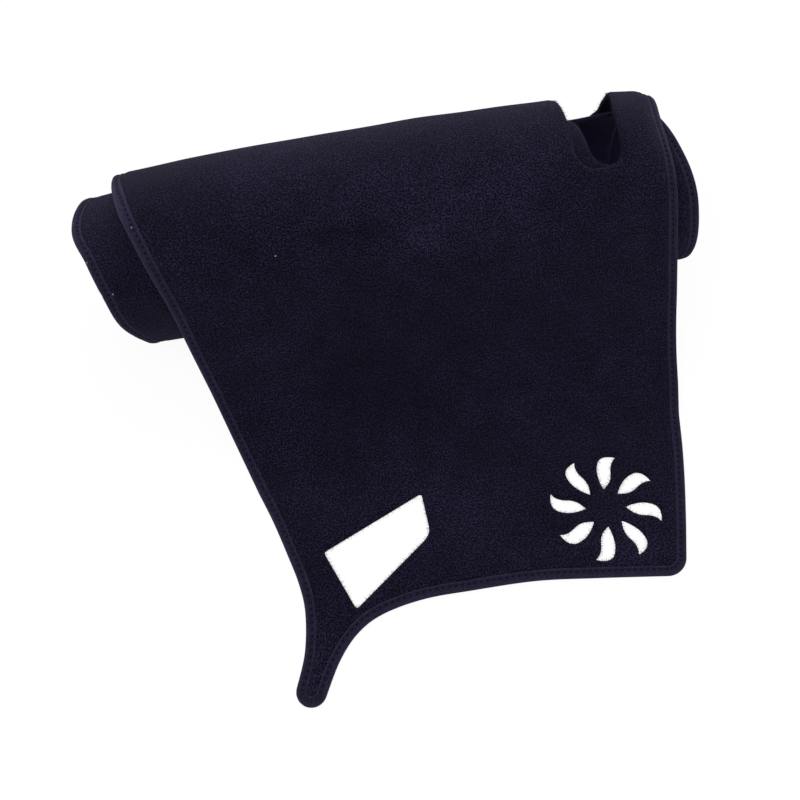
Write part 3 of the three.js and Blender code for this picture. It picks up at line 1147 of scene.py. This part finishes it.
@dataclass
class Stitching:
    """Sewing thread that shows as one short stitch after another along the tape."""

    binding: EdgeBinding
    thread: float = 0.55 * MM
    share: float = 0.62

    def build(self, material: bpy.types.Material) -> bpy.types.Object:
        """Build all stitches as one piece.

        Args:
            material: The thread's finish.

        Returns:
            The piece.
        """
        binding = self.binding
        loop = binding.cut.outline(binding.step)
        length = len(loop) * binding.step
        bm = bmesh.new()
        for n in range(int(length / binding.stitch)):
            run = (n + 0.5) * binding.stitch
            i = round(run / binding.step) % len(loop)
            height = binding.leg_height(binding.seam, run) + self.thread * 0.25
            ahead = inset_point(loop, (i + 1) % len(loop), binding.seam)
            middle = binding.bender.bend(inset_point(loop, i, binding.seam), height)
            along = (binding.bender.bend(ahead, height) - middle).normalized()
            half = binding.stitch * self.share / 2
            turn = along.to_track_quat("Z", "Y").to_matrix().to_4x4()
            size = Matrix.Diagonal((self.thread, self.thread, half, 1))
            bmesh.ops.create_uvsphere(
                bm, u_segments=6, v_segments=5, radius=1, matrix=Matrix.Translation(middle) @ turn @ size,
            )
        return link("binding_stitches", mesh_of(bm, "binding_stitches"), [material])


def add_strand(bm: bmesh.types.BMesh, start: Vector, tip: Vector, radii: Pair, segments: int) -> None:
    """Add a thin closed strand.

    Args:
        bm: Mesh that takes it.
        start: Place of its thick end.
        tip: Place of its thin end.
        radii: Its radius at either end.
        segments: Sides round it.
    """
    way = tip - start
    turn = way.to_track_quat("Z", "Y").to_matrix().to_4x4()
    bmesh.ops.create_cone(
        bm, cap_ends=True, segments=segments, radius1=radii[0], radius2=radii[1], depth=way.length,
        matrix=Matrix.Translation((start + tip) / 2) @ turn,
    )


@dataclass
class RawEdges:
    """Loose fibres that stand out of the carpet's cut edges."""

    cut: MatCut
    bender: Bender
    spacing: float = 0.42 * MM
    reach: Pair = (0.6 * MM, 2.4 * MM)
    thickness: float = 0.14 * MM
    taper: float = 0.35
    root: float = 0.6 * MM
    seed: int = 11

    def build(self, material: bpy.types.Material) -> bpy.types.Object:
        """Build the fibres of every window as one piece.

        Args:
            material: The fibres' finish.

        Returns:
            The piece.
        """
        draw = random.Random(self.seed)
        bm = bmesh.new()
        full = self.bender.roll.thickness
        for loop in self.cut.windows(self.spacing).values():
            centre = sum(loop, Vector((0, 0))) / len(loop)
            for i, point in enumerate(loop):
                along = (loop[(i + 1) % len(loop)] - loop[i - 1]).normalized()
                out = Vector((-along.y, along.x))
                if out.dot(centre - point) < 0:
                    out = -out
                length = draw.uniform(*self.reach) * draw.choice((0.6, 1, 1, 1.5))
                lean = along * draw.uniform(-0.7, 0.7) * length
                start = self.bender.bend(point - out * self.root, full * draw.uniform(0.15, 0.85))
                tip = self.bender.bend(point + out * length + lean, full * draw.uniform(0.1, 0.95))
                add_strand(bm, start, tip, (self.thickness, self.thickness * self.taper), 3)
        return link("raw_edge_fibres", mesh_of(bm, "raw_edge_fibres"), [material])


@dataclass
class Lint:
    """Specks of pale lint that cling to the pile, each a few short curled hairs."""

    bender: Bender
    places: tuple[Pair, ...] = ((-203, 17), (-91, 68), (-235, -433), (-252, -469))
    hairs: int = 5
    length: float = 1.5 * MM
    thickness: float = 0.17 * MM
    taper: float = 0.6
    stray: float = 0.4 * MM
    rise: float = 0.3 * MM
    seed: int = 5

    def build(self, material: bpy.types.Material) -> bpy.types.Object:
        """Build all specks as one piece.

        Args:
            material: The lint's finish.

        Returns:
            The piece.
        """
        draw = random.Random(self.seed)
        bm = bmesh.new()
        for x, forward in self.places:
            for _ in range(self.hairs):
                angle = draw.uniform(0, math.pi)
                half = Vector((math.cos(angle), math.sin(angle))) * self.length * draw.uniform(0.3, 0.6)
                stray = Vector((draw.uniform(-1, 1), draw.uniform(-1, 1))) * self.stray
                spot = Vector((x * MM, -forward * MM)) + stray
                height = self.bender.roll.thickness + draw.uniform(0.2, 0.6) * MM
                start = self.bender.bend(spot - half, height)
                tip = self.bender.bend(spot + half, height + self.rise)
                add_strand(bm, start, tip, (self.thickness, self.thickness * self.taper), 5)
        return link("lint_specks", mesh_of(bm, "lint_specks"), [material])


@dataclass
class Studio:
    """Camera at the photograph's angle, pale floor and soft light."""

    camera_place: Vector = field(default_factory=lambda: Vector((-0.0980, -0.3856, 0.8575)))
    azimuth: float = -11
    elevation: float = 64.5
    lens: float = 45
    floor_size: float = 6.0

    def add_camera(self) -> None:
        """Add the camera."""
        azimuth, elevation = math.radians(self.azimuth), math.radians(self.elevation)
        right = Vector((math.cos(azimuth), math.sin(azimuth), 0))
        back = Vector((
            math.sin(azimuth) * math.cos(elevation), -math.cos(azimuth) * math.cos(elevation),
            math.sin(elevation),
        ))
        turn = Matrix((right, back.cross(right), back)).transposed().to_4x4()
        data = bpy.data.cameras.new("photo_camera")
        data.lens = self.lens
        data.sensor_width = 36
        camera = bpy.data.objects.new("photo_camera", data)
        camera.matrix_world = Matrix.Translation(self.camera_place) @ turn
        bpy.context.scene.collection.objects.link(camera)
        bpy.context.scene.camera = camera

    def seen(self, nodes: NodeTree) -> bpy.types.NodeSocket:
        """Give 1 where the camera sees a surface, straight or in a mirror, and 0 elsewhere."""
        path = nodes.add("ShaderNodeLightPath")
        direct = nodes.math("MAXIMUM", path.outputs["Is Camera Ray"], path.outputs["Is Glossy Ray"])
        return nodes.math("MAXIMUM", direct, path.outputs["Is Transmission Ray"])

    def add_floor(self) -> None:
        """Add the pale floor, which turns white to the camera and keeps a faint shadow."""
        nodes = NodeTree("studio_floor")
        paint = nodes.add("ShaderNodeBsdfDiffuse", Color=(0.8, 0.8, 0.81, 1))
        glow = nodes.add("ShaderNodeEmission", Color=(1, 1, 1, 1), Strength=1.03)
        blend = nodes.add("ShaderNodeMixShader")
        nodes.join(nodes.math("MULTIPLY", self.seen(nodes), 0.9), blend.inputs[0])
        nodes.join(paint.outputs[0], blend.inputs[1])
        nodes.join(glow.outputs[0], blend.inputs[2])
        nodes.join(blend.outputs[0], nodes.output.inputs["Surface"])
        bm = bmesh.new()
        bmesh.ops.create_grid(bm, x_segments=1, y_segments=1, size=self.floor_size / 2)
        floor = link("studio_floor", mesh_of(bm, "studio_floor", smooth=False), [nodes.material])

    def add_light(self, name: str, place: Vector, size: float, power: float) -> None:
        """Add a soft lamp that points at the mat."""
        data = bpy.data.lights.new(name, "AREA")
        data.shape = "DISK"
        data.size = size
        data.energy = power
        lamp = bpy.data.objects.new(name, data)
        lamp.matrix_world = Matrix.Translation(place) @ place.to_track_quat("Z", "Y").to_matrix().to_4x4()
        bpy.context.scene.collection.objects.link(lamp)

    def add_world(self) -> None:
        """Add the even sky light, which the camera sees as white."""
        world = bpy.data.worlds.new("studio_world")
        world.use_nodes = True
        tree = world.node_tree
        background = tree.nodes["Background"]
        path = tree.nodes.new("ShaderNodeLightPath")
        strength = tree.nodes.new("ShaderNodeMapRange")
        strength.inputs["To Min"].default_value = 0.6
        strength.inputs["To Max"].default_value = 1.0
        tree.links.new(path.outputs["Is Camera Ray"], strength.inputs["Value"])
        tree.links.new(strength.outputs["Result"], background.inputs["Strength"])
        background.inputs["Color"].default_value = (1, 1, 1, 1)
        bpy.context.scene.world = world

    def build(self) -> None:
        """Build the whole studio."""
        self.add_floor()
        self.add_world()
        self.add_light("back_softbox", Vector((0.1, 1.1, 1.2)), 1.2, 6)
        self.add_light("top_softbox", Vector((-0.5, -0.5, 1.8)), 1.4, 14)
        bpy.context.scene.view_settings.view_transform = "Standard"


def main() -> None:
    """Build the mat, dress it and set up the studio."""
    logging.basicConfig(level=logging.INFO, format="%(name)s: %(message)s")
    studio = Studio()
    studio.add_camera()
    cut = MatCut()
    bender = Bender(cut.roll, SoftForm())
    carpet = CarpetSheet(cut, bender).build([Velour().build(), Backing().build()])
    binding = EdgeBinding(cut, bender)
    tape = binding.build(TapeWeave().build())
    stitches = Stitching(binding).build(Fibre("sewing_thread", (0.0105, 0.0090, 0.0240)).build())
    fibres = RawEdges(cut, bender).build(Fibre("cut_pile_fibre", (0.0085, 0.0072, 0.0165)).build())
    lint = Lint(bender).build(Fibre("pale_lint", (0.30, 0.28, 0.36)).build())
    for piece in (carpet, tape, stitches, fibres, lint):
        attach(piece, "root")
        log.info("%s: %d faces", piece.name, len(piece.data.polygons))
    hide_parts("mat_sheet")
    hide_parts("edge_binding")
    studio.build()


if __name__ == "__main__":
    main()
